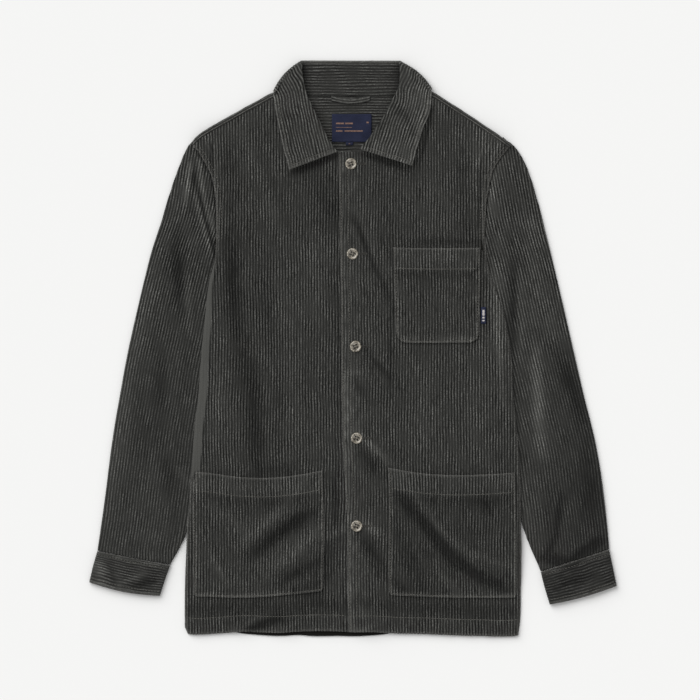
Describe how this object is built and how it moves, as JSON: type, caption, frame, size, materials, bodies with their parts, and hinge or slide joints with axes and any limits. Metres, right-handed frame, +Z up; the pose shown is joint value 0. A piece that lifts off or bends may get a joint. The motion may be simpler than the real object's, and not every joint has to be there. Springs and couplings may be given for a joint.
{
  "type": "shacket",
  "caption": "dark corduroy overshirt laid flat and buttoned, with pointed collar, long cuffed sleeves, a chest pocket and large lower patch pockets",
  "frame": {"origin": "centre of the bounding box, on the surface that the garment lies on", "axes": "+X to the wearer's left, which is the right of the picture, +Y from hem to collar, +Z up from the surface out of the fronts"},
  "size_m": [0.7284, 0.7943, 0.0145],
  "materials": {
    "corduroy": "wide-wale cotton corduroy, matt with a soft sheen on the wales",
    "label": "woven navy label, bare",
    "button": "polished mottled horn look"
  },
  "bodies": {
    "root": {"back": "corduroy", "yoke_outer": "corduroy", "yoke_inner": "corduroy", "front_left": "corduroy", "front_right": "corduroy", "collar_stand": "corduroy", "collar_fall": "corduroy", "sleeve_left": "corduroy", "sleeve_right": "corduroy", "cuff_left": "corduroy", "cuff_right": "corduroy", "pocket_chest": "corduroy", "pocket_lower_left": "corduroy", "pocket_lower_right": "corduroy", "hanger_loop": "corduroy", "neck_label": "label", "size_tab": "label", "pocket_tab": "label", "button_1": "button", "button_2": "button", "button_3": "button", "button_4": "button", "button_5": "button"}
  },
  "joints": []
}
